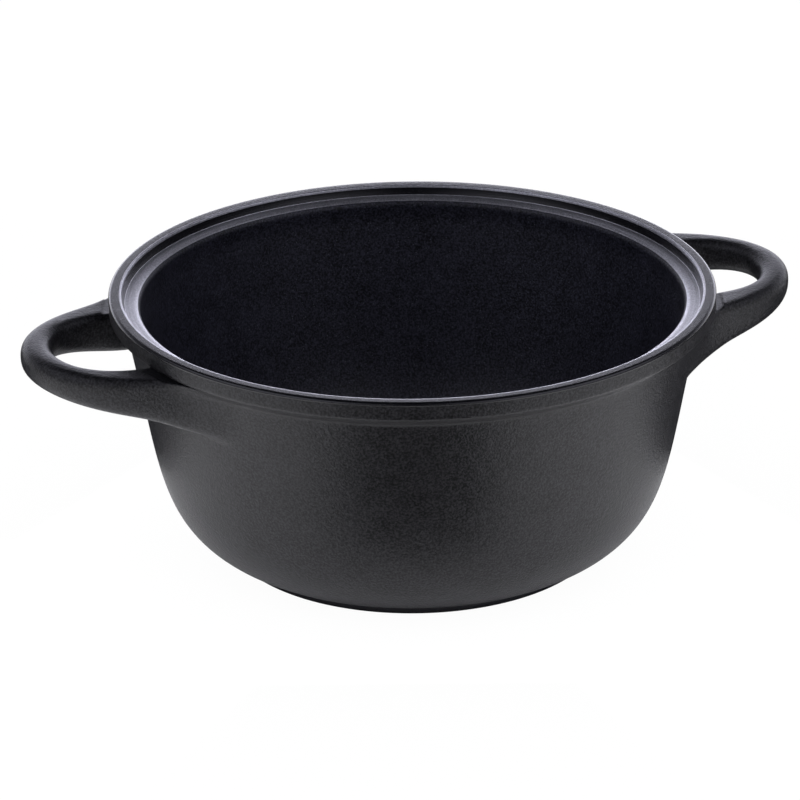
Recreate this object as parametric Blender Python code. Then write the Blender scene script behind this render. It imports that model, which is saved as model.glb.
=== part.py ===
"""Two-handled casserole pot, lidless: vessel, two loop handles, base plate.

Run with: blender --background --python part.py
Units are metres, +Z is up. The origin is the centre of the face the pot rests on.
The handles lie along the X axis, handle_right at +X.
"""
import math

import bmesh
import bpy
import numpy as np
from mathutils import Vector

# ---------------------------------------------------------------- driving sizes
POT_HEIGHT = 0.1079         # resting face to rim top
RIM_RADIUS = 0.120          # outside of the thick band under the rim
BAND_HEIGHT = 0.0062        # upright outer face of that band
BAND_STEP_HEIGHT = 0.0064   # slope that leads from the band in to the wall
RIM_EDGE_RADIUS = 0.0018    # round on the rim's outer edge
LIP_WIDTH = 0.0051          # flat and round of the raised lip, measured inwards
LIP_EDGE_RADIUS = 0.0004    # round on the lip's inner edge
RISER_LEAN = 0.0013         # how far the lip's inner face slopes in on its way down
SEAT_DEPTH = 0.0042         # lid seat below the rim top
SEAT_WIDTH = 0.0062         # lid seat, foot of the lip to the mouth
SEAT_EDGE_RADIUS = 0.0030   # round where the seat turns down into the pot

WALL_THICKNESS = 0.0062     # at the top of the wall, from where it changes evenly
FLOOR_THICKNESS = 0.0050    # to this at the foot, and all over the floor
WALL_TOP_INSET = 0.0064     # wall's outside, in from the band
WALL_LEAN = 0.0118          # how far in the wall has leaned where it starts to curve
WALL_STRAIGHT = 0.0584      # height over which it leans
CORNER_REACH = 0.0285       # how far the lower corner's curve pulls out over the foot
CORNER_DROP = 0.0120        # how far above the plate that pull acts

PLATE_RADIUS = 0.0755       # base plate, seen as the smooth foot
PLATE_THICKNESS = 0.0025    # plate and joint, resting face to vessel
PLATE_CHAMFER = 0.0004      # on the plate's two outer edges

JOINT_GAP = 0.0003          # clearance between pieces that bear on each other

GRIP_OFFSET = 0.03194       # rim's outside to the middle of the grip
GRIP_HALF_WIDTH = 0.00607   # half the grip's plan width at the middle
GRIP_TOP_DROP = 0.00674     # grip's top below the rim top
GRIP_DEPTH = 0.01181        # grip's height at the middle
SECTION_POWER = 2.55        # 2 is an ellipse, larger is squarer

# Stations from the middle of the grip to the root, at thirds of the half loop:
# inward run and sideways run of the centre line, change of half width,
# change of top drop and change of depth, each against the middle of the grip.
SHOULDER = (0.00947, 0.02376, -0.00021, 0.00051, 0.00153)
LIMB = (0.02998, 0.03484, 0.00136, 0.00099, 0.00516)
ROOT = (0.05414, 0.04874, -0.00075, -0.00205, 0.01535)
ROOT_RUN = 0.0220           # straight run-on of each root, sinking into the wall

RING_SEGMENTS = 96          # facets round the pot
CORNER_STEPS = 12           # facets down the curved wall
ROUND_STEPS = 3             # facets on a small round
LOOP_STEPS = 30             # sections along a whole handle
RUN_ON_STEPS = 4            # sections along each root's run-on
SECTION_STEPS = 20          # facets round a handle section

CAST_BLACK = ((0.030, 0.030, 0.033, 1.0), 0.55, 0.30)
GRIP_BLACK = ((0.032, 0.031, 0.033, 1.0), 0.55, 0.30)
PLATE_BLACK = ((0.022, 0.022, 0.025, 1.0), 0.42, 0.45)


# ---------------------------------------------------------------- helpers
def clear_scene():
    """Remove every object, so that the script starts from nothing."""
    for item in list(bpy.data.objects):
        bpy.data.objects.remove(item, do_unlink=True)


def make_material(name, finish):
    """Principled material from (colour, roughness, metallic)."""
    colour, roughness, metallic = finish
    material = bpy.data.materials.new(name)
    material.use_nodes = True
    shader = material.node_tree.nodes["Principled BSDF"]
    shader.inputs["Base Color"].default_value = colour
    shader.inputs["Roughness"].default_value = roughness
    shader.inputs["Metallic"].default_value = metallic
    return material


def add_object(name, mesh, material=None):
    """Link a mesh as a named object, shaded smooth with sharp creases kept."""
    body = bpy.data.objects.new(name, mesh)
    bpy.context.scene.collection.objects.link(body)
    mesh.shade_smooth()
    mesh.set_sharp_from_angle(angle=math.radians(35))
    if material:
        mesh.materials.append(material)
    return body


def arc(centre, radius, start, end, steps=ROUND_STEPS):
    """Points (r, z) on an arc, angles in degrees from the outward direction."""
    angles = np.radians(np.linspace(start, end, steps + 1))
    return [(centre[0] + radius * math.cos(a), centre[1] + radius * math.sin(a)) for a in angles]


def turned_mesh(name, outline):
    """Spin an outline of (r, z) points, from axis to axis, into a closed solid."""
    shape = bmesh.new()
    points = [shape.verts.new((r, 0.0, z)) for r, z in outline]
    edges = [shape.edges.new(pair) for pair in zip(points, points[1:])]
    bmesh.ops.spin(shape, geom=points + edges, cent=(0, 0, 0), axis=(0, 0, 1),
                   angle=math.tau, steps=RING_SEGMENTS, use_merge=True)
    bmesh.ops.remove_doubles(shape, verts=shape.verts, dist=1e-6)
    bmesh.ops.recalc_face_normals(shape, faces=shape.faces)
    mesh = bpy.data.meshes.new(name)
    shape.to_mesh(mesh)
    shape.free()
    return mesh


# ---------------------------------------------------------------- vessel
def wall_curve():
    """Outer wall from under the band down to the foot: points and outward normals."""
    band_foot = POT_HEIGHT - BAND_HEIGHT - BAND_STEP_HEIGHT
    wall_radius = RIM_RADIUS - WALL_TOP_INSET
    start = np.array((wall_radius, band_foot))
    lean = np.array((wall_radius - WALL_LEAN, band_foot - WALL_STRAIGHT))
    end = np.array((PLATE_RADIUS + PLATE_CHAMFER, PLATE_THICKNESS))
    pull = end + np.array((CORNER_REACH, CORNER_DROP))
    points = []
    for t in np.linspace(0.0, 1.0, CORNER_STEPS + 1):
        s = 1.0 - t
        place = s**3 * start + 3 * s * s * t * lean + 3 * s * t * t * pull + t**3 * end
        run = 3 * s * s * (lean - start) + 6 * s * t * (pull - lean) + 3 * t * t * (end - pull)
        normal = np.array((-run[1], run[0])) / np.hypot(*run)
        points.append((place, normal, t))
    return points


def inner_wall():
    """Inside of the wall, mouth to floor: the outer curve moved in by the thickness."""
    floor_level = PLATE_THICKNESS + FLOOR_THICKNESS
    points = []
    for place, normal, t in wall_curve():
        thickness = WALL_THICKNESS + (FLOOR_THICKNESS - WALL_THICKNESS) * t
        r, z = place - thickness * normal
        if z > floor_level:
            points.append((r, z))
    return points


def rim_outline():
    """Lid seat, lip and outer band, from the mouth to the band's lower edge."""
    top = POT_HEIGHT
    seat = top - SEAT_DEPTH
    lip_in = RIM_RADIUS - LIP_WIDTH
    seat_out = lip_in - RISER_LEAN
    mouth = seat_out - SEAT_WIDTH
    outline = arc((mouth + SEAT_EDGE_RADIUS, seat - SEAT_EDGE_RADIUS), SEAT_EDGE_RADIUS, 180, 90)
    outline.append((seat_out, seat))
    outline += arc((lip_in + LIP_EDGE_RADIUS, top - LIP_EDGE_RADIUS), LIP_EDGE_RADIUS, 180, 90)
    outline += arc((RIM_RADIUS - RIM_EDGE_RADIUS, top - RIM_EDGE_RADIUS), RIM_EDGE_RADIUS, 90, 0)
    outline.append((RIM_RADIUS, top - BAND_HEIGHT))
    return outline


def vessel_outline():
    """Whole section: floor centre, up the inside, over the rim, down the outside."""
    floor_level = PLATE_THICKNESS + FLOOR_THICKNESS
    inside = inner_wall()[::-1]
    floor_edge = (inside[0][0] - (inside[0][1] - floor_level), floor_level)
    outside = [tuple(place) for place, normal, t in wall_curve()]
    return [(0.0, floor_level), floor_edge] + inside + rim_outline() + outside + [(0.0, PLATE_THICKNESS)]


def make_vessel(material):
    return add_object("vessel", turned_mesh("vessel", vessel_outline()), material)


def make_envelope():
    """Filled outside of the vessel, grown by the joint gap: cuts the handle roots."""
    outline = [(0.0, POT_HEIGHT + JOINT_GAP), (RIM_RADIUS + JOINT_GAP, POT_HEIGHT + JOINT_GAP),
               (RIM_RADIUS + JOINT_GAP, POT_HEIGHT - BAND_HEIGHT - JOINT_GAP)]
    for place, normal, t in wall_curve():
        r, z = place + JOINT_GAP * normal
        outline.append((r, z))
    outline.append((0.0, outline[-1][1]))
    envelope = add_object("vessel_envelope", turned_mesh("vessel_envelope", outline))
    envelope.hide_render = True
    envelope.display_type = "WIRE"
    return envelope


# ---------------------------------------------------------------- base plate
def make_base_plate(material):
    """Flat disc under the floor, with both outer edges chamfered."""
    top = PLATE_THICKNESS - JOINT_GAP
    inset = PLATE_RADIUS - PLATE_CHAMFER
    outline = [(0.0, top), (inset, top), (PLATE_RADIUS, top - PLATE_CHAMFER),
               (PLATE_RADIUS, PLATE_CHAMFER), (inset, 0.0), (0.0, 0.0)]
    return add_object("base_plate", turned_mesh("base_plate", outline), material)


# ---------------------------------------------------------------- handles
def even_curve(values):
    """Smooth mirror-symmetric curve through four stations, as even powers."""
    stations = np.array((0.0, 1 / 3, 2 / 3, 1.0))
    powers = 2 * np.arange(4)
    weights = np.linalg.solve(stations[:, None] ** powers, np.array(values))
    return lambda u: float(sum(w * u**p for w, p in zip(weights, powers)))


def odd_curve(values):
    """The same for a run that changes sign at the middle, as odd powers."""
    stations = np.array((1 / 3, 2 / 3, 1.0))
    powers = 2 * np.arange(3) + 1
    weights = np.linalg.solve(stations[:, None] ** powers, np.array(values))
    return lambda u: float(sum(w * u**p for w, p in zip(weights, powers)))


def handle_curves():
    """Centre line, half width, top level and bottom level along the loop."""
    stations = ((0.0,) * 5, SHOULDER, LIMB, ROOT)
    inward, sideways, width, drop, depth = zip(*stations)
    top = [POT_HEIGHT - GRIP_TOP_DROP - step for step in drop]
    return {
        "x": even_curve([RIM_RADIUS + GRIP_OFFSET - step for step in inward]),
        "y": odd_curve(sideways[1:]),
        "half_width": even_curve([GRIP_HALF_WIDTH + step for step in width]),
        "top": even_curve(top),
        "bottom": even_curve([level - GRIP_DEPTH - step for level, step in zip(top, depth)]),
    }


def section_shape():
    """Unit section, a squared ellipse: (sideways, upwards) pairs."""
    shape = []
    for angle in np.linspace(0.0, math.tau, SECTION_STEPS, endpoint=False):
        c = math.cos(angle)
        s = math.sin(angle)
        power = 2.0 / SECTION_POWER
        shape.append((math.copysign(abs(c)**power, c), math.copysign(abs(s)**power, s)))
    return shape


def loop_place(curves, u):
    """Centre and outward direction at u; past the roots the loop runs on straight."""
    nudge = 1e-4
    root = max(-1.0, min(1.0, u))
    centre = Vector((curves["x"](root), curves["y"](root), 0.0))
    ahead = Vector((curves["x"](root + nudge), curves["y"](root + nudge), 0.0))
    run = (ahead - centre).normalized()
    return centre + run * (u - root) * ROOT_RUN, Vector((run.y, -run.x, 0.0))


def handle_mesh(name):
    """Sweep the section round the loop, with both ends inside the vessel wall."""
    curves = handle_curves()
    shape = bmesh.new()
    rings = []
    loop = list(np.linspace(-1.0, 1.0, LOOP_STEPS + 1))
    run_on = list(np.linspace(1.0, 2.0, RUN_ON_STEPS + 1)[1:])
    for u in [-step for step in run_on[::-1]] + loop + run_on:
        root = max(-1.0, min(1.0, u))
        centre, outward = loop_place(curves, u)
        top = curves["top"](root)
        bottom = curves["bottom"](root)
        middle = (top + bottom) / 2
        ring = []
        for side, rise in section_shape():
            point = centre + outward * side * curves["half_width"](root)
            point.z = middle + rise * (top - bottom) / 2
            ring.append(shape.verts.new(point))
        rings.append(ring)
    for ring, following in zip(rings, rings[1:]):
        for i, corner in enumerate(ring):
            j = (i + 1) % len(ring)
            shape.faces.new((corner, ring[j], following[j], following[i]))
    shape.faces.new(rings[0])
    shape.faces.new(rings[-1])
    bmesh.ops.recalc_face_normals(shape, faces=shape.faces)
    mesh = bpy.data.meshes.new(name)
    shape.to_mesh(mesh)
    shape.free()
    return mesh


def make_handle(name, turn, envelope, material):
    """One loop handle, its roots cut to follow the wall and band at the joint gap."""
    handle = add_object(name, handle_mesh(name), material)
    handle.rotation_euler.z = turn
    cut = handle.modifiers.new("root_cut", "BOOLEAN")
    cut.operation = "DIFFERENCE"
    cut.solver = "EXACT"
    cut.object = envelope
    return handle


def main():
    clear_scene()
    cast_black = make_material("cast_black", CAST_BLACK)
    grip_black = make_material("grip_black", GRIP_BLACK)
    plate_black = make_material("plate_black", PLATE_BLACK)
    make_vessel(cast_black)
    make_base_plate(plate_black)
    envelope = make_envelope()
    make_handle("handle_right", 0.0, envelope, grip_black)
    make_handle("handle_left", math.pi, envelope, grip_black)
    bpy.context.view_layer.update()


main()
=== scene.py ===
import math

import bmesh
import bpy
import numpy as np
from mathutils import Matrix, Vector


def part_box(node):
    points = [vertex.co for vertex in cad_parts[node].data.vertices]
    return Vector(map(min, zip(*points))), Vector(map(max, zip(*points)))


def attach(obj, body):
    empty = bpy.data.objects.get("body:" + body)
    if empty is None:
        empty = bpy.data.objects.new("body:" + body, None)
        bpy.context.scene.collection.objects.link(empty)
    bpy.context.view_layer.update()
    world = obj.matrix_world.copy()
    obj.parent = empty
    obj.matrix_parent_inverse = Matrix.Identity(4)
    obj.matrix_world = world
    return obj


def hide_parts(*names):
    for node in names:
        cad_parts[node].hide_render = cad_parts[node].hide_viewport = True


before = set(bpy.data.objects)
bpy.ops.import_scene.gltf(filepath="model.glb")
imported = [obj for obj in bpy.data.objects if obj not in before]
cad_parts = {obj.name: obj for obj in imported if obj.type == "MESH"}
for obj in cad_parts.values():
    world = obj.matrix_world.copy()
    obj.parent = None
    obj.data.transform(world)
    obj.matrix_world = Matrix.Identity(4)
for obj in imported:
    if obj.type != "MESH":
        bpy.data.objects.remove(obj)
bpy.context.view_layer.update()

import openvdb
from mathutils import Matrix, Vector

# Looks of a black two-handled casserole: one turned vessel, two cast loops, one turned base.
# Metres throughout; the pot's axis is Z, the handles lie along X, the pot stands on z = 0.

mm = 0.001

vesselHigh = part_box("vessel")[1]
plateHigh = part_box("base_plate")[1]
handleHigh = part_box("handle_right")[1]
rimTop = vesselHigh.z
rimRadius = vesselHigh.x
plateRadius = plateHigh.x
plateTop = plateHigh.z
loopTip = handleHigh.x

print("frame loaded: rim", round(rimRadius, 4), "height", round(rimTop, 4), "tip", round(loopTip, 4))


# ---- profiles and turned meshes

def roundedPath(corners, arcSteps=6):
    # corners are (r, z, rounding); each corner is replaced by an arc tangent to both sides
    path = []
    for i, (r, z, rounding) in enumerate(corners):
        here = np.array((r, z))
        if rounding <= 0 or i in (0, len(corners) - 1):
            path.append(here)
            continue
        toPrev = np.array(corners[i - 1][:2]) - here
        toNext = np.array(corners[i + 1][:2]) - here
        toPrev = toPrev / np.hypot(*toPrev)
        toNext = toNext / np.hypot(*toNext)
        half = math.acos(max(-1.0, min(1.0, float(toPrev @ toNext)))) / 2
        reach = rounding / math.tan(half)
        centre = here + (toPrev + toNext) / np.hypot(*(toPrev + toNext)) * rounding / math.sin(half)
        first = here + toPrev * reach - centre
        last = here + toNext * reach - centre
        start = math.atan2(first[1], first[0])
        sweep = (math.atan2(last[1], last[0]) - start + math.pi) % math.tau - math.pi
        steps = max(2, round(arcSteps * abs(sweep) / (math.pi / 2)))
        for angle in np.linspace(start, start + sweep, steps + 1):
            path.append(centre + rounding * np.array((math.cos(angle), math.sin(angle))))
    return np.array(path)


def bezierPath(start, pullOne, pullTwo, end, steps):
    t = np.linspace(0, 1, steps + 1)[:, None]
    s = 1 - t
    points = s**3 * start + 3 * s * s * t * pullOne + 3 * s * t * t * pullTwo + t**3 * end
    run = 3 * s * s * (pullOne - start) + 6 * s * t * (pullTwo - pullOne) + 3 * t * t * (end - pullTwo)
    normals = np.stack([-run[:, 1], run[:, 0]], -1) / np.hypot(run[:, 0], run[:, 1])[:, None]
    return points, normals


def turnedPiece(name, zones, materials, segments):
    # zones are (path, material number), from the axis round to the axis; each starts where the last ended
    rings = []
    zoneOf = []
    for path, number in zones:
        for point in (path if not rings else path[1:]):
            rings.append(point)
            zoneOf.append(number)
    angles = np.linspace(0, math.tau, segments, endpoint=False)
    verts = []
    rows = []
    for r, z in rings:
        if r < 1e-6:
            rows.append([len(verts)] * segments)
            verts.append((0.0, 0.0, z))
        else:
            rows.append(list(range(len(verts), len(verts) + segments)))
            verts += [(r * math.cos(a), r * math.sin(a), z) for a in angles]
    faces = []
    numbers = []
    for i in range(len(rows) - 1):
        for j in range(segments):
            k = (j + 1) % segments
            corners = [rows[i][j], rows[i][k], rows[i + 1][k], rows[i + 1][j]]
            faces.append(list(dict.fromkeys(corners)))
            numbers.append(zoneOf[i + 1])
    mesh = bpy.data.meshes.new(name)
    mesh.from_pydata(verts, [], faces)
    for material in materials:
        mesh.materials.append(material)
    mesh.polygons.foreach_set("material_index", numbers)
    mesh.shade_smooth()
    piece = bpy.data.objects.new(name, mesh)
    bpy.context.scene.collection.objects.link(piece)
    facesOut(mesh)
    return piece


def facesOut(mesh):
    shape = bmesh.new()
    shape.from_mesh(mesh)
    bmesh.ops.recalc_face_normals(shape, faces=shape.faces)
    shape.to_mesh(mesh)
    shape.free()


# ---- shader helpers

def addNode(tree, kind, place, **values):
    node = tree.nodes.new(kind)
    node.location = place
    for key, value in values.items():
        if key in node.inputs:
            node.inputs[key].default_value = value
        else:
            setattr(node, key, value)
    return node


def newGroup(name, inputs, outputs):
    group = bpy.data.node_groups.new(name, "ShaderNodeTree")
    for label, kind, value in inputs:
        socket = group.interface.new_socket(label, in_out="INPUT", socket_type=kind)
        socket.default_value = value
    for label, kind in outputs:
        group.interface.new_socket(label, in_out="OUTPUT", socket_type=kind)
    group.nodes.new("NodeGroupInput").location = (-900, 0)
    group.nodes.new("NodeGroupOutput").location = (900, 0)
    return group


def placeGroup(tree, group, place, **values):
    node = addNode(tree, "ShaderNodeGroup", place)
    node.node_tree = group
    for key, value in values.items():
        node.inputs[key].default_value = value
    return node


def mathNode(tree, operation, place, a, b=0.0, c=0.0):
    node = addNode(tree, "ShaderNodeMath", place, operation=operation)
    for socket, value in zip(node.inputs, (a, b, c)):
        if isinstance(value, bpy.types.NodeSocket):
            tree.links.new(value, socket)
        else:
            socket.default_value = value
    return node.outputs[0]


def rangeNode(tree, place, value, low, high, toLow=0.0, toHigh=1.0):
    node = addNode(tree, "ShaderNodeMapRange", place)
    node.inputs["From Min"].default_value = low
    node.inputs["From Max"].default_value = high
    node.inputs["To Min"].default_value = toLow
    node.inputs["To Max"].default_value = toHigh
    tree.links.new(value, node.inputs["Value"])
    return node.outputs[0]


def noiseNode(tree, place, vector, scale, detail=2.0, roughness=0.5):
    node = addNode(tree, "ShaderNodeTexNoise", place, Detail=detail, Roughness=roughness)
    tree.links.new(vector, node.inputs["Vector"])
    if isinstance(scale, bpy.types.NodeSocket):
        tree.links.new(scale, node.inputs["Scale"])
    else:
        node.inputs["Scale"].default_value = scale
    return node.outputs["Fac"]


sandMix = {"coarseScale": 0.38, "coarseShare": 0.55, "heightRange": (0.45, 1.1), "grainRange": (0.40, 0.64),
           "patchRange": (0.3, 0.7)}


def makeSandGrain():
    # fine sandy casting skin: a height for the bump and a tone that wanders slowly
    group = newGroup("sandGrain",
                     [("Grain Size", "NodeSocketFloat", 0.0006), ("Patch Size", "NodeSocketFloat", 0.012)],
                     [("Height", "NodeSocketFloat"), ("Grain", "NodeSocketFloat"),
                      ("Patches", "NodeSocketFloat")])
    source = group.nodes["Group Input"]
    sink = group.nodes["Group Output"]
    coords = addNode(group, "ShaderNodeTexCoord", (-900, 300)).outputs["Object"]
    fineScale = mathNode(group, "DIVIDE", (-700, 0), 1.0, source.outputs["Grain Size"])
    patchScale = mathNode(group, "DIVIDE", (-700, -200), 1.0, source.outputs["Patch Size"])
    fine = noiseNode(group, (-450, 200), coords, fineScale, 2.0, 0.6)
    bumpy = mathNode(group, "MULTIPLY", (-450, 0), fineScale, sandMix["coarseScale"])
    coarse = noiseNode(group, (-250, 0), coords, bumpy, 2.0, 0.5)
    patches = noiseNode(group, (-450, -250), coords, patchScale, 3.0, 0.55)
    mixed = mathNode(group, "MULTIPLY_ADD", (0, 150), coarse, sandMix["coarseShare"], fine)
    height = rangeNode(group, (200, 150), mixed, *sandMix["heightRange"])
    grain = rangeNode(group, (200, -50), fine, *sandMix["grainRange"])
    slow = rangeNode(group, (200, -250), patches, *sandMix["patchRange"])
    group.links.new(height, sink.inputs["Height"])
    group.links.new(grain, sink.inputs["Grain"])
    group.links.new(slow, sink.inputs["Patches"])
    return group


def makeSparkle():
    # scattered bright flecks in the coating: a mask of small round dots of varied strength
    group = newGroup("sparkle",
                     [("Fleck Spacing", "NodeSocketFloat", 0.0009), ("Fleck Size", "NodeSocketFloat", 0.2),
                      ("Share", "NodeSocketFloat", 0.3)],
                     [("Mask", "NodeSocketFloat")])
    source = group.nodes["Group Input"]
    sink = group.nodes["Group Output"]
    coords = addNode(group, "ShaderNodeTexCoord", (-900, 300)).outputs["Object"]
    cells = addNode(group, "ShaderNodeTexVoronoi", (-500, 200))
    group.links.new(coords, cells.inputs["Vector"])
    group.links.new(mathNode(group, "DIVIDE", (-700, 0), 1.0, source.outputs["Fleck Spacing"]),
                    cells.inputs["Scale"])
    dot = mathNode(group, "LESS_THAN", (-250, 200), cells.outputs["Distance"],
                   source.outputs["Fleck Size"])
    pick = addNode(group, "ShaderNodeSeparateColor", (-250, 0))
    group.links.new(cells.outputs["Color"], pick.inputs["Color"])
    chosen = mathNode(group, "LESS_THAN", (0, 0), pick.outputs["Red"], source.outputs["Share"])
    faintest = 0.25
    strength = rangeNode(group, (0, -200), pick.outputs["Green"], 0.0, 1.0, faintest, 1.0)
    both = mathNode(group, "MULTIPLY", (250, 100), dot, chosen)
    group.links.new(mathNode(group, "MULTIPLY", (450, 100), both, strength), sink.inputs["Mask"])
    return group


def makeTurnedLines():
    # fine concentric tool lines: noise read along the radius and the height only
    group = newGroup("turnedLines",
                     [("Line Spacing", "NodeSocketFloat", 0.0005)],
                     [("Height", "NodeSocketFloat")])
    source = group.nodes["Group Input"]
    sink = group.nodes["Group Output"]
    coords = addNode(group, "ShaderNodeTexCoord", (-900, 300)).outputs["Object"]
    parts = addNode(group, "ShaderNodeSeparateXYZ", (-700, 300))
    group.links.new(coords, parts.inputs[0])
    xx = mathNode(group, "MULTIPLY", (-500, 400), parts.outputs[0], parts.outputs[0])
    yy = mathNode(group, "MULTIPLY_ADD", (-300, 350), parts.outputs[1], parts.outputs[1], xx)
    radius = mathNode(group, "SQRT", (-100, 350), yy)
    flat = addNode(group, "ShaderNodeCombineXYZ", (100, 300))
    group.links.new(radius, flat.inputs[0])
    group.links.new(parts.outputs[2], flat.inputs[1])
    scale = mathNode(group, "DIVIDE", (100, 100), 1.0, source.outputs["Line Spacing"])
    lines = noiseNode(group, (350, 250), flat.outputs[0], scale, 2.0, 0.6)
    lineRange = (0.3, 0.7)
    group.links.new(rangeNode(group, (600, 250), lines, *lineRange), sink.inputs["Height"])
    return group


groups = {"sandGrain": makeSandGrain(), "sparkle": makeSparkle(), "turnedLines": makeTurnedLines()}
print("shader groups ready:", ", ".join(groups))


def coatedMetal(name, looks):
    # dark coated casting: grain in the bump, tone and roughness that wander, flecks, tool lines
    material = bpy.data.materials.new(name)
    material.use_nodes = True
    tree = material.node_tree
    shader = tree.nodes["Principled BSDF"]
    shader.inputs["Metallic"].default_value = looks["metallic"]
    shader.inputs["IOR"].default_value = looks["ior"]

    sand = placeGroup(tree, groups["sandGrain"], (-1100, 100),
                      **{"Grain Size": looks["grainSize"], "Patch Size": looks["patchSize"]})
    flecks = placeGroup(tree, groups["sparkle"], (-1100, -150),
                        **{"Fleck Spacing": looks["fleckSpacing"], "Fleck Size": looks["fleckSize"],
                           "Share": looks["fleckShare"]})

    tone = addNode(tree, "ShaderNodeMix", (-800, 300), data_type="RGBA")
    tone.inputs[6].default_value = (*looks["darkTone"], 1)
    tone.inputs[7].default_value = (*looks["lightTone"], 1)
    patchShare = 0.2
    wander = mathNode(tree, "MULTIPLY", (-950, 350), sand.outputs["Patches"], patchShare)
    blend = mathNode(tree, "MULTIPLY_ADD", (-950, 250), sand.outputs["Grain"], 1 - patchShare, wander)
    tree.links.new(blend, tone.inputs[0])
    fleckTone = addNode(tree, "ShaderNodeMix", (-600, 300), data_type="RGBA")
    fleckTone.inputs[7].default_value = (*looks["fleckTone"], 1)
    tree.links.new(flecks.outputs["Mask"], fleckTone.inputs[0])
    tree.links.new(tone.outputs[2], fleckTone.inputs[6])
    tree.links.new(fleckTone.outputs[2], shader.inputs["Base Color"])

    low, high = looks["roughness"]
    rough = rangeNode(tree, (-600, 50), blend, 0.0, 1.0, low, high)
    tree.links.new(rough, shader.inputs["Roughness"])

    height = sand.outputs["Height"]
    if looks["toolLines"] > 0:
        turned = placeGroup(tree, groups["turnedLines"], (-1100, -400),
                            **{"Line Spacing": looks["lineSpacing"]})
        height = mathNode(tree, "MULTIPLY_ADD", (-600, -200), turned.outputs["Height"], looks["toolLines"],
                          height)
    bump = addNode(tree, "ShaderNodeBump", (-300, -200), Strength=looks["bump"], Distance=looks["bumpDepth"])
    tree.links.new(height, bump.inputs["Height"])
    tree.links.new(bump.outputs["Normal"], shader.inputs["Normal"])
    return material


# ---- vessel

vessel = {
    # the lip's inner-edge width sets a strip of bright seat metal, a painted highlight
    "lipWidth": 5.1 * mm, "lipTilt": 0.14 * mm, "lipHighlightStrip": 0.9 * mm, "lipInnerRound": 0.8 * mm,
    "outerRound": 1.4 * mm, "riserLean": 1.3 * mm, "riserTop": (0.2 * mm, 1.1 * mm),
    "seatDepth": 4.2 * mm, "seatWidth": 6.2 * mm, "seatRound": 3.0 * mm, "seatCorner": 0.25 * mm,
    "bandHeight": 6.2 * mm, "stepHeight": 6.4 * mm, "stepPulls": (0.30, 0.40), "wallInset": 6.4 * mm,
    "lean": 11.8 * mm, "leanHeight": 58.4 * mm, "cornerReach": 28.5 * mm, "cornerDrop": 12.0 * mm,
    "wall": 6.2 * mm, "floor": 5.0 * mm, "floorCorner": 6 * mm, "cornerStart": 2.2 * mm,
    "footLip": 0.4 * mm, "footRound": 0.5 * mm, "footInset": 3 * mm, "jointGap": 0.3 * mm,
    # a straight lead before each rounding, in roundings
    "lead": 1.2,
    # how finely it is turned: segments round, then rings along each part
    "segments": 384, "wallRings": 56, "stepRings": 16, "bandRings": 4, "floorRings": 6, "footRings": 4,
    "cornerSteps": 10, "lipSteps": 9, "footSteps": 5,
    # rings of the mouth's rounding that the inside coating still covers
    "coatedRings": 7,
}


def outerWall():
    v = vessel
    start = np.array((rimRadius - v["wallInset"], rimTop - v["bandHeight"] - v["stepHeight"]))
    lean = start - np.array((v["lean"], v["leanHeight"]))
    end = np.array((plateRadius + v["footLip"], plateTop + v["jointGap"]))
    pull = end + np.array((v["cornerReach"], v["cornerDrop"]))
    return bezierPath(start, lean, pull, end, v["wallRings"])


def outerSkin():
    # rim's outer round, band, the soft step under it and the wall, from the top down
    v = vessel
    wallPath = outerWall()[0]
    bandTop = np.array((rimRadius, rimTop - v["outerRound"]))
    bandFoot = np.array((rimRadius, rimTop - v["bandHeight"]))
    start = wallPath[0]
    along = wallPath[1] - wallPath[0]
    along = along / np.hypot(*along)
    leave, arrive = v["stepPulls"]
    step = bezierPath(bandFoot, bandFoot - np.array((0.0, v["stepHeight"] * leave)),
                      start - along * v["stepHeight"] * arrive, start, v["stepRings"])[0]
    band = np.linspace(bandTop, bandFoot, v["bandRings"] + 1)[:-1]
    return np.vstack([band, step, wallPath[1:-v["footRings"]]])


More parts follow.
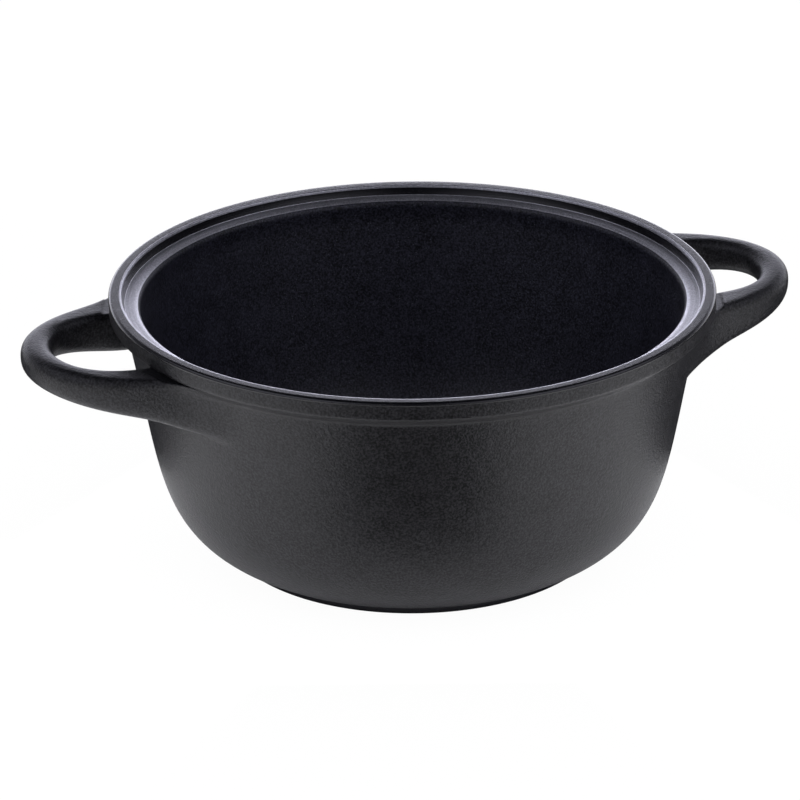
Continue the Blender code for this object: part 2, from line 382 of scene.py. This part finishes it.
def vesselZones():
    v = vessel
    outer, normals = outerWall()
    share = np.linspace(0, 1, len(outer))[:, None]
    inner = outer - normals * (v["wall"] + (v["floor"] - v["wall"]) * share)
    floorLevel = plateTop + v["jointGap"] + v["floor"]
    inner = inner[inner[:, 1] > floorLevel + v["cornerStart"]][::-1]
    lipIn = rimRadius - v["lipWidth"]
    seatOut = lipIn - v["riserLean"]
    mouth = seatOut - v["seatWidth"]
    seat = rimTop - v["seatDepth"]
    # the floor's corner is one soft arc, from the flat up to the wall's curve
    foot = inner[0]
    slope = inner[1] - inner[0]
    meet = foot - slope / slope[1] * (foot[1] - floorLevel)
    floorCorner = roundedPath([(0, floorLevel, 0), (meet[0], meet[1], v["floorCorner"]),
                               (foot[0], foot[1], 0)], v["cornerSteps"])
    flatRings = np.linspace(0, floorCorner[1][0], v["floorRings"] + 2)[1:-1]
    flat = np.stack([flatRings, np.full(v["floorRings"], floorLevel)], -1)
    # lid seat: up over the mouth's rounding, across the seat, up the riser
    riserTop = (lipIn - v["riserTop"][0], rimTop - v["lipTilt"] - v["riserTop"][1], 0)
    ledge = roundedPath([(mouth, seat - v["seatRound"] * v["lead"], 0), (mouth, seat, v["seatRound"]),
                         (seatOut, seat, v["seatCorner"]), riserTop], v["lipSteps"])
    # the coating runs up over the steep part of the mouth's rounding
    coated = v["coatedRings"]
    inside = np.vstack([floorCorner[:1], flat, floorCorner[1:], inner[1:], ledge[:coated]])
    # the lip's inner edge takes the seat's bright metal as a painted highlight along the edge; the riser
    # between them stays dark
    edgeEnd = (lipIn + v["lipHighlightStrip"], rimTop - v["lipTilt"] * (1 - v["lipHighlightStrip"] / v["lipWidth"]), 0)
    lipHighlightStrip = roundedPath([riserTop, (lipIn, rimTop - v["lipTilt"], v["lipInnerRound"]), edgeEnd],
                          v["lipSteps"])
    rim = roundedPath([edgeEnd, (rimRadius, rimTop, v["outerRound"]),
                       (rimRadius, rimTop - v["outerRound"] * v["lead"], 0)], v["lipSteps"])[:-1]
    outer = outer[-v["footRings"]:]
    under = roundedPath([(outer[0][0], outer[0][1], 0), (outer[-1][0], outer[-1][1], v["footRound"]),
                         (plateRadius - v["footInset"], plateTop + v["jointGap"], 0)], v["footSteps"])
    outside = np.vstack([rim[-1:], outerSkin()[1:], under[1:], [(0.0, plateTop + v["jointGap"])]])
    return [(inside, 0), (ledge[coated - 1:-1], 1), (ledge[-2:], 2), (lipHighlightStrip, 1), (rim, 2), (outside, 3)]


potInside = coatedMetal("potInside", {
    "darkTone": (0.0, 0.0, 0.001), "lightTone": (0.042, 0.043, 0.060), "fleckTone": (0.085, 0.09, 0.105),
    "metallic": 0.0, "ior": 1.38, "roughness": (0.42, 0.52),
    "grainSize": 0.85 * mm, "patchSize": 14 * mm,
    "fleckSpacing": 1.0 * mm, "fleckSize": 0.24, "fleckShare": 0.35,
    "bump": 0.8, "bumpDepth": 0.14 * mm, "toolLines": 0.0, "lineSpacing": 0.5 * mm})
# bare turned metal of the lid seat and the mouth's rounding; on the lip's inner edge the same metal paints a
# highlight
lidSeat = coatedMetal("lidSeat", {
    "darkTone": (0.38, 0.38, 0.405), "lightTone": (0.70, 0.70, 0.74), "fleckTone": (0.3, 0.28, 0.24),
    "metallic": 0.9, "ior": 1.5, "roughness": (0.36, 0.48),
    "grainSize": 0.6 * mm, "patchSize": 9 * mm,
    "fleckSpacing": 1.3 * mm, "fleckSize": 0.12, "fleckShare": 0.2,
    "bump": 0.35, "bumpDepth": 0.08 * mm, "toolLines": 1.5, "lineSpacing": 0.5 * mm})
potRim = coatedMetal("potRim", {
    "darkTone": (0.004, 0.004, 0.005), "lightTone": (0.008, 0.008, 0.010), "fleckTone": (0.05, 0.05, 0.06),
    "metallic": 0.0, "ior": 1.48, "roughness": (0.20, 0.28),
    "grainSize": 0.5 * mm, "patchSize": 9 * mm,
    "fleckSpacing": 1.3 * mm, "fleckSize": 0.12, "fleckShare": 0.2,
    "bump": 0.22, "bumpDepth": 0.08 * mm, "toolLines": 1.2, "lineSpacing": 0.55 * mm})
# the wall and the handles wear the same skin
castSkin = {
    "darkTone": (0.0008, 0.0007, 0.0009), "lightTone": (0.030, 0.0298, 0.0325),
    "fleckTone": (0.04, 0.04, 0.043), "metallic": 0.0, "ior": 1.32, "roughness": (0.36, 0.46),
    "grainSize": 0.85 * mm, "patchSize": 11 * mm,
    "fleckSpacing": 1.2 * mm, "fleckSize": 0.18, "fleckShare": 0.3,
    "bump": 0.9, "bumpDepth": 0.16 * mm, "toolLines": 0.0, "lineSpacing": 0.5 * mm}
potOutside = coatedMetal("potOutside", castSkin)

vesselPiece = turnedPiece("pot_vessel", vesselZones(), [potInside, lidSeat, potRim, potOutside],
                          vessel["segments"])
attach(vesselPiece, "root")
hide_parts("vessel")
print("vessel turned:", len(vesselPiece.data.polygons), "faces")


# ---- loop handles

loop = {
    "halfWidth": (6.07 * mm, 5.86 * mm, 7.43 * mm, 5.32 * mm),
    "inward": (0.0, 9.47 * mm, 29.98 * mm, 54.14 * mm),
    "sideways": (23.76 * mm, 34.84 * mm, 48.74 * mm),
    "topDrop": (6.74 * mm, 7.25 * mm, 7.73 * mm, 4.69 * mm),
    "depth": (11.81 * mm, 13.34 * mm, 16.97 * mm, 27.16 * mm),
    # how square the section is at the grip and at the roots, and where between them it changes
    "topPower": (2.5, 5.5), "underPower": (2.5, 3.0), "powerRange": (0.25, 0.85),
    # past the roots the limb bends on into the wall
    "runPace": 100 * mm, "bendLength": 24 * mm, "sectionEase": 0.2, "axisEnd": 1.4, "axisSteps": 700,
    # how far the casting's fillets reach where a limb meets the vessel, by side of the limb
    "fillet": {"outer": 7.5 * mm, "inner": 4 * mm, "top": 1.6 * mm, "under": 2.5 * mm},
    "filletEnd": 0.93, "hidden": 0.03 * mm, "buried": 1.5 * mm, "gridStep": 0.5 * mm,
    "blockFrom": (82 * mm, 64 * mm), "blockReach": 78 * mm, "smoothing": 2,
    "reliefReach": 2.8 * mm, "reliefLevel": 8.3 * mm,
}


def evenCurve(values):
    # smooth mirror-symmetric curve through stations at thirds of the half loop
    stations = np.array((0.0, 1 / 3, 2 / 3, 1.0))
    powers = 2 * np.arange(4)
    weights = np.linalg.solve(stations[:, None] ** powers, np.array(values))
    return lambda u: sum(w * np.abs(u) ** p for w, p in zip(weights, powers))


def oddCurve(values):
    stations = np.array((1 / 3, 2 / 3, 1.0))
    powers = 2 * np.arange(3) + 1
    weights = np.linalg.solve(stations[:, None] ** powers, np.array(values))
    return lambda u: sum(w * u ** p for w, p in zip(weights, powers))


gripCentre = loopTip - loop["halfWidth"][0]
loopX = evenCurve([gripCentre - step for step in loop["inward"]])
loopY = oddCurve(loop["sideways"])
loopWidth = evenCurve(loop["halfWidth"])
loopTop = evenCurve([rimTop - drop for drop in loop["topDrop"]])
loopDepth = evenCurve(loop["depth"])


def softStep(low, high, value):
    t = np.clip((value - low) / (high - low), 0.0, 1.0)
    return t * t * (3 - 2 * t)


def sectionPower(u, rise):
    # round at the grip, squarer towards the roots, most of all along the top edges
    share = softStep(*loop["powerRange"], np.abs(u))
    top, under = [grip + (root - grip) * share for grip, root in (loop["topPower"], loop["underPower"])]
    return np.where(rise > 0, top, under)


def loopAxis(u):
    # middle of the section and the way it heads; past the roots it bends on into the pot's wall
    nudge = 1e-3
    inside = np.minimum(u, 1.0)
    heading = np.arctan2(loopY(inside + nudge) - loopY(inside - nudge),
                         loopX(inside + nudge) - loopX(inside - nudge))
    beyond = np.maximum(u - 1.0, 0.0) * loop["runPace"]
    heading = heading + (beyond / loop["bendLength"]) ** 2
    step = np.diff(beyond, prepend=0.0)
    x = loopX(inside) + np.cumsum(step * np.cos(heading))
    y = loopY(inside) + np.cumsum(step * np.sin(heading))
    # the section stops growing softly, a little short of its last station
    ease = loop["sectionEase"]
    root = np.where(u > 1 - ease, 1 - ease + ease * np.tanh((u - 1 + ease) / ease), u)
    return x, y, np.cos(heading), np.sin(heading), root


def nearLoop(x, y):
    # nearest place on the loop's middle line, and how far across the section the point lies there
    steps = np.linspace(0.0, loop["axisEnd"], loop["axisSteps"] + 1)
    line = np.stack(loopAxis(steps))
    root = np.empty(x.shape)
    side = np.empty(x.shape)
    for row in range(len(x)):
        gap = (x[row][:, None] - line[0]) ** 2 + (y[row][:, None] - line[1]) ** 2
        best = np.clip(gap.argmin(1), 1, len(steps) - 2)
        place = np.arange(len(best))
        before = gap[place, best - 1]
        after = gap[place, best + 1]
        bend = np.maximum(before - 2 * gap[place, best] + after, 1e-14)
        nearest = best + np.clip((before - after) / bend / 2, -1, 1)
        midX, midY, runX, runY, root[row] = [np.interp(nearest, np.arange(len(steps)), part)
                                             for part in line]
        side[row] = (x[row] - midX) * runY - (y[row] - midY) * runX
    return root, side


def loopDistance(root, side, z):
    # signed distance to the limb's section, and the turn round the section
    halfDepth = loopDepth(root) / 2
    rise = z - loopTop(root) + halfDepth
    a = np.abs(side) / loopWidth(root)
    b = np.abs(rise) / halfDepth
    power = sectionPower(root, rise)
    level = np.maximum(a ** power + b ** power, 1e-12) ** (1 / power)
    slopeA = (a / level) ** (power - 1) / loopWidth(root)
    slopeB = (b / level) ** (power - 1) / halfDepth
    return (level - 1) / np.hypot(slopeA, slopeB), np.arctan2(b * np.sign(rise), a * np.sign(side))


def vesselDistance(r, z):
    # signed distance to the vessel's outer skin, outside positive
    skin = outerSkin()
    nearest = np.full(r.shape, 1.0)
    for first, second in zip(skin[:-1], skin[1:]):
        along = second - first
        reachR = r - first[0]
        reachZ = z - first[1]
        t = np.clip((reachR * along[0] + reachZ * along[1]) / (along @ along), 0, 1)
        offR = reachR - t * along[0]
        offZ = reachZ - t * along[1]
        gap = np.hypot(offR, offZ)
        outward = np.where(offZ * along[0] - offR * along[1] >= 0, gap, -gap)
        nearest = np.where(gap < np.abs(nearest), outward, nearest)
    return nearest


def aroundSection(angle, sizes):
    # one size for each turn round the section, blended from outer, top, inner and under values
    rise = np.sin(angle)
    side = np.where(np.cos(angle) > 0, sizes["outer"], sizes["inner"])
    share = np.where(rise > 0, rise ** 4, np.abs(rise))
    return side * (1 - share) + np.where(rise > 0, sizes["top"], sizes["under"]) * share


def castBlock():
    # half the casting as a field on a grid, below zero inside: limb and vessel wall melted together
    step = loop["gridStep"]
    x = np.arange(loop["blockFrom"][0], loopTip + 3 * step, step)
    y = np.arange(0, loop["blockReach"], step)
    z = np.arange(loop["blockFrom"][1], rimTop - vessel["outerRound"], step)
    flatX, flatY = np.meshgrid(x, y, indexing="ij")
    root, side = nearLoop(flatX, flatY)
    toLoop, angle = loopDistance(root[..., None], side[..., None], z)
    r = np.hypot(flatX, flatY)
    tableR = np.arange(r.min(), r.max() + step, step / 2)
    table = vesselDistance(*np.meshgrid(tableR, z, indexing="ij"))
    place = (r - tableR[0]) / (step / 2)
    low = np.minimum(place.astype(int), len(tableR) - 2)
    share = (place - low)[..., None]
    toVessel = table[low] * (1 - share) + table[low + 1] * share
    soft = aroundSection(angle, loop["fillet"])
    mix = np.maximum(soft - np.abs(toLoop - toVessel), 0) / soft
    melted = np.minimum(toLoop, toVessel) - mix ** 3 * soft / 6 + loop["hidden"]
    # a shallow ring is turned out of the limb's top beside the band
    ring = np.maximum(r[..., None] - rimRadius - loop["reliefReach"], rimTop - loop["reliefLevel"] - z)
    cut = np.maximum(melted, -ring)
    # only the limb, its fillets and a thin footing just under the vessel's skin are kept
    footing = np.maximum(-toVessel - loop["buried"], toLoop - soft * loop["filletEnd"])
    return np.maximum(cut, footing), np.array((x[0], -y[-1], z[0]))


def handleMesh(name):
    half, corner = castBlock()
    whole = np.concatenate([half[:, :0:-1], half], 1)
    reach = 3 * loop["gridStep"]
    volume = openvdb.FloatGrid(reach)
    volume.copyFromArray(np.clip(whole, -reach, reach).astype(np.float32))
    points, triangles, quads = volume.convertToPolygons(isovalue=0.0, adaptivity=0.0)
    mesh = bpy.data.meshes.new(name)
    mesh.from_pydata((points * loop["gridStep"] + corner).tolist(), [], triangles.tolist() + quads.tolist())
    shape = bmesh.new()
    shape.from_mesh(mesh)
    for turn in range(loop["smoothing"]):
        bmesh.ops.smooth_vert(shape, verts=shape.verts, factor=0.5,
                              use_axis_x=True, use_axis_y=True, use_axis_z=True)
    shape.to_mesh(mesh)
    shape.free()
    mesh.shade_smooth()
    facesOut(mesh)
    return mesh


handleCast = coatedMetal("handleCast", castSkin)

handleShape = handleMesh("loop_right")
for name, turned, node in (("loop_right", 0.0, "handle_right"), ("loop_left", math.pi, "handle_left")):
    mesh = handleShape if turned == 0 else handleShape.copy()
    mesh.transform(Matrix.Rotation(turned, 4, "Z"))
    mesh.materials.append(handleCast)
    piece = bpy.data.objects.new(name, mesh)
    bpy.context.scene.collection.objects.link(piece)
    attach(piece, "root")
    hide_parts(node)
print("handles swept:", len(handleShape.polygons), "faces each")


# ---- base plate

plate = {"chamfer": 0.35 * mm, "ringPitch": 6.0 * mm, "ringWidth": 2.2 * mm, "ringDepth": 0.35 * mm,
         "ringRound": 0.3 * mm, "topRound": 0.1 * mm, "rings": 10, "firstRing": 9.0 * mm, "segments": 256}


def plateZones():
    p = plate
    under = [(0.0, 0.0, 0)]
    for i in range(p["rings"]):
        r = p["firstRing"] + i * p["ringPitch"]
        half = p["ringWidth"] / 2
        under += [(r - half, 0.0, p["ringRound"]), (r - half / 2, p["ringDepth"], p["ringRound"]),
                  (r + half / 2, p["ringDepth"], p["ringRound"]), (r + half, 0.0, p["ringRound"])]
    under.append((plateRadius, 0.0, p["chamfer"]))
    under.append((plateRadius, plateTop, p["topRound"]))
    under.append((0.0, plateTop, 0))
    return [(roundedPath(under, 5)[::-1], 0)]


plateTurned = coatedMetal("plateTurned", {
    "darkTone": (0.014, 0.014, 0.018), "lightTone": (0.026, 0.026, 0.030), "fleckTone": (0.06, 0.06, 0.07),
    "metallic": 0.2, "ior": 1.5, "roughness": (0.32, 0.42),
    "grainSize": 0.6 * mm, "patchSize": 14 * mm,
    "fleckSpacing": 1.5 * mm, "fleckSize": 0.1, "fleckShare": 0.1,
    "bump": 0.2, "bumpDepth": 0.08 * mm, "toolLines": 1.5, "lineSpacing": 0.35 * mm})
platePiece = turnedPiece("pot_base", plateZones(), [plateTurned], plate["segments"])
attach(platePiece, "root")
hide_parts("base_plate")
print("base turned")


# ---- floor, lights, camera

studio = {
    "floorTone": (0.86, 0.86, 0.87), "floorRoughness": 0.8, "floorGloss": 0.2, "floorReach": 12.0,
    # how white the floor is to the eye, and the overhead light that only the floor takes
    "floorWhite": 0.97, "floorLight": 6.0, "floorSoftness": 110, "lightHeight": 2.0,
    "lightTone": (0.95, 0.95, 1.10),
    # soft glows round the pot: degrees from straight behind it, half width, degrees up, half height, level
    "glows": ((0, 60, 6, 13, 6.2), (0, 60, 28, 16, 0.5),
              (90, 35, 38, 25, 1.9), (135, 40, 35, 25, 2.0)),
    # dark cards lying round the pot, unseen: degrees from straight behind, from, to, half widths at both
    "cards": ((180, 0.135, 0.75, 0.06, 0.36), (0, 0.14, 0.9, 0.14, 0.6),
              (58, 0.135, 0.9, 0.09, 0.5), (-58, 0.135, 0.9, 0.09, 0.5)),
    "cardTone": 0.06, "cardLift": 0.5 * mm,
}
shot = {"azimuth": -17.99, "elevation": 21.479, "distance": 1.5824, "turnRight": 0.190, "turnUp": -1.627,
        "roll": 0.559, "lens": 180.0, "sensor": 36.0, "targetHeight": 0.107}


def makeFloor():
    mesh = bpy.data.meshes.new("studio_floor")
    reach = studio["floorReach"]
    mesh.from_pydata([(-reach, -reach, 0), (reach, -reach, 0), (reach, reach, 0), (-reach, reach, 0)],
                     [], [(0, 1, 2, 3)])
    floor = bpy.data.objects.new("studio_floor", mesh)
    bpy.context.scene.collection.objects.link(floor)
    material = bpy.data.materials.new("floorPaper")
    material.use_nodes = True
    shader = material.node_tree.nodes["Principled BSDF"]
    shader.inputs["Base Color"].default_value = (*studio["floorTone"], 1)
    shader.inputs["Roughness"].default_value = studio["floorRoughness"]
    shader.inputs["Specular IOR Level"].default_value = studio["floorGloss"]
    # seen directly the paper is all but white; what it throws on the pot is its true tone
    tree = material.node_tree
    glow = addNode(tree, "ShaderNodeEmission", (0, 300))
    glow.inputs["Color"].default_value = (1, 1, 1, 1)
    seen = addNode(tree, "ShaderNodeLightPath", (-200, 500))
    share = mathNode(tree, "MULTIPLY", (0, 500), seen.outputs["Is Camera Ray"], studio["floorWhite"])
    mix = addNode(tree, "ShaderNodeMixShader", (250, 300))
    tree.links.new(share, mix.inputs[0])
    tree.links.new(shader.outputs[0], mix.inputs[1])
    tree.links.new(glow.outputs[0], mix.inputs[2])
    tree.links.new(mix.outputs[0], tree.nodes["Material Output"].inputs["Surface"])
    mesh.materials.append(material)
    return floor


def glowEdge(tree, angle, centre, half):
    # one at the centre angle, nothing from half away on
    away = mathNode(tree, "SUBTRACT", (-600, 0), angle, math.radians(centre))
    away = mathNode(tree, "ABSOLUTE", (-500, 0), away)
    return rangeNode(tree, (-400, 0), away, 0.0, math.radians(half), 1.0, 0.0)


def makeWorld():
    # white to the eye; as light, a few soft glows round the pot
    world = bpy.data.worlds.new("studio")
    bpy.context.scene.world = world
    world.use_nodes = True
    tree = world.node_tree
    backdrop = tree.nodes["Background"]
    out = tree.nodes["World Output"]
    coords = addNode(tree, "ShaderNodeTexCoord", (-1300, 0))
    azimuth = math.radians(shot["azimuth"])
    behind = (-math.sin(azimuth), math.cos(azimuth), 0)
    aside = (math.cos(azimuth), math.sin(azimuth), 0)
    reach = []
    for row, axis in enumerate((aside, behind)):
        along = addNode(tree, "ShaderNodeVectorMath", (-1100, -150 - 200 * row), operation="DOT_PRODUCT")
        tree.links.new(coords.outputs["Generated"], along.inputs[0])
        along.inputs[1].default_value = axis
        reach.append(along.outputs["Value"])
    turn = mathNode(tree, "ABSOLUTE", (-700, -200), mathNode(tree, "ARCTAN2", (-900, -200), *reach))
    parts = addNode(tree, "ShaderNodeSeparateXYZ", (-1100, 100))
    tree.links.new(coords.outputs["Generated"], parts.inputs[0])
    rise = mathNode(tree, "ARCSINE", (-900, 100), parts.outputs[2])
    level = 0.0
    for turned, halfWidth, raised, halfHeight, strength in studio["glows"]:
        across = glowEdge(tree, turn, turned, halfWidth)
        upright = glowEdge(tree, rise, raised, halfHeight)
        glow = mathNode(tree, "MULTIPLY", (-300, 0), across, upright)
        level = mathNode(tree, "MULTIPLY_ADD", (-100, 0), glow, strength, level)
    backdrop.inputs["Color"].default_value = (*studio["lightTone"], 1)
    tree.links.new(level, backdrop.inputs["Strength"])
    white = addNode(tree, "ShaderNodeBackground", (-200, -200))
    white.inputs["Color"].default_value = (1, 1, 1, 1)
    seen = addNode(tree, "ShaderNodeLightPath", (-200, 300))
    mix = addNode(tree, "ShaderNodeMixShader", (100, 0))
    tree.links.new(seen.outputs["Is Camera Ray"], mix.inputs[0])
    tree.links.new(backdrop.outputs[0], mix.inputs[1])
    tree.links.new(white.outputs[0], mix.inputs[2])
    tree.links.new(mix.outputs[0], out.inputs["Surface"])


def makeLights(floor):
    # a wide overhead light that only the floor takes
    light = bpy.data.lights.new("floor_light", "SUN")
    light.energy = studio["floorLight"]
    light.angle = math.radians(studio["floorSoftness"])
    overhead = bpy.data.objects.new("floor_light", light)
    overhead.location = (0, 0, studio["lightHeight"])
    bpy.context.scene.collection.objects.link(overhead)
    takers = bpy.data.collections.new("floor_only")
    takers.objects.link(floor)
    overhead.light_linking.receiver_collection = takers


def makeCards():
    # they keep the floor's light off the parts of the wall that should stay dark
    mesh = bpy.data.meshes.new("studio_cards")
    lift = Vector((0, 0, studio["cardLift"]))
    corners = []
    for turned, near, far, nearHalf, farHalf in studio["cards"]:
        heading = math.radians(shot["azimuth"] + turned)
        out = Vector((-math.sin(heading), math.cos(heading), 0))
        side = Vector((math.cos(heading), math.sin(heading), 0))
        corners += [out * reach + side * half + lift for reach, half in
                    ((near, -nearHalf), (near, nearHalf), (far, farHalf), (far, -farHalf))]
    mesh.from_pydata(corners, [], [range(i, i + 4) for i in range(0, len(corners), 4)])
    cards = bpy.data.objects.new("studio_cards", mesh)
    bpy.context.scene.collection.objects.link(cards)
    material = bpy.data.materials.new("cardFelt")
    material.use_nodes = True
    shader = material.node_tree.nodes["Principled BSDF"]
    shader.inputs["Base Color"].default_value = (*[studio["cardTone"]] * 3, 1)
    shader.inputs["Roughness"].default_value = 1.0
    mesh.materials.append(material)
    cards.visible_camera = False
    cards.visible_shadow = False


def makeCamera():
    azimuth = math.radians(shot["azimuth"])
    elevation = math.radians(shot["elevation"])
    target = Vector((0, 0, shot["targetHeight"]))
    away = Vector((math.sin(azimuth) * math.cos(elevation), -math.cos(azimuth) * math.cos(elevation),
                   math.sin(elevation)))
    ahead = -away
    right = Vector((math.cos(azimuth), math.sin(azimuth), 0))
    up = right.cross(ahead)
    turn = (Matrix.Rotation(math.radians(shot["turnRight"]), 3, up)
            @ Matrix.Rotation(math.radians(shot["turnUp"]), 3, right))
    ahead = turn @ ahead
    tilt = Matrix.Rotation(math.radians(shot["roll"]), 3, ahead) @ turn
    right = tilt @ right
    up = tilt @ up
    data = bpy.data.cameras.new("camera")
    data.lens = shot["lens"]
    data.sensor_width = shot["sensor"]
    camera = bpy.data.objects.new("camera", data)
    basis = Matrix((right, up, -ahead)).transposed().to_4x4()
    basis.translation = target + away * shot["distance"]
    camera.matrix_world = basis
    bpy.context.scene.collection.objects.link(camera)
    bpy.context.scene.camera = camera


makeWorld()
makeLights(makeFloor())
makeCards()
makeCamera()
bpy.context.scene.view_settings.view_transform = "Standard"
print("studio set")
